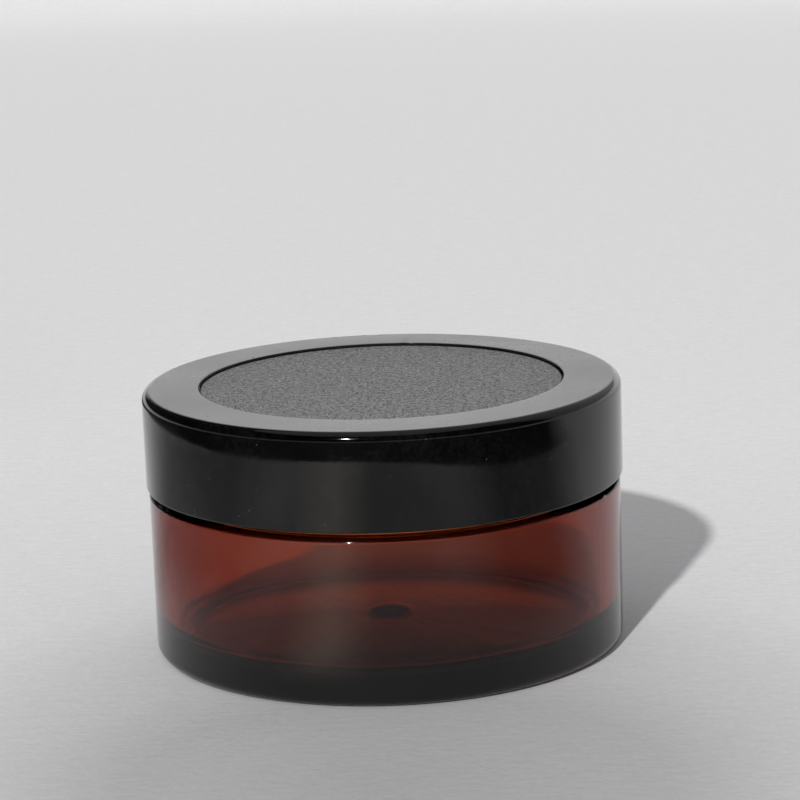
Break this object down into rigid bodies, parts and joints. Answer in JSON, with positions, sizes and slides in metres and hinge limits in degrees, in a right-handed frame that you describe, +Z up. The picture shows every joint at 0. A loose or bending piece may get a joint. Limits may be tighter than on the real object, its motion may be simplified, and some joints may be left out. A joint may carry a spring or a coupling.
{
  "type": "cosmetic cream jar",
  "caption": "Low round cream jar with a clear amber plastic wall and a straight-sided gloss black screw cap that has a rough-textured disc set in its top.",
  "frame": {"origin": "centre of the standing ring, on the surface that the jar stands on", "axes": "+Z up along the jar's axis, towards the cap; -Y towards the front"},
  "size_m": [0.07, 0.07, 0.0392],
  "materials": {
    "amber_plastic": "clear amber moulded plastic, polished",
    "natural_plastic": "natural, satin",
    "white_foam": "fine closed-cell foam, matte",
    "black_gloss": "gloss, with fine scuffs on the top",
    "black_textured": "coarse eroded grain, matte"
  },
  "bodies": {
    "jar": {"jar_body": "amber_plastic"},
    "seal": {"sealing_disc": "natural_plastic"},
    "wad": {"cap_liner": "white_foam"},
    "cap": {"cap_shell": "black_gloss", "cap_top_disc": "black_textured"}
  },
  "joints": [
    {"name": "seal_lift", "type": "slide", "parent": "jar", "child": "seal", "axis": [0, 0, 1], "range_m": [0, 0.0149]},
    {"name": "cap_lift", "type": "slide", "parent": "jar", "child": "wad", "axis": [0, 0, 1], "range_m": [0, 0.0297]},
    {"name": "cap_turn", "type": "hinge", "parent": "wad", "child": "cap", "pos_m": [0, 0, 0.032], "axis": [0, 0, 1], "range_deg": [0, 2520]}
  ],
  "couplings": [
    {"joint": "cap_lift", "follows": "cap_turn", "m_per_rad": 0.00067375},
    {"joint": "seal_lift", "follows": "cap_turn", "m_per_rad": 0.00033687}
  ]
}
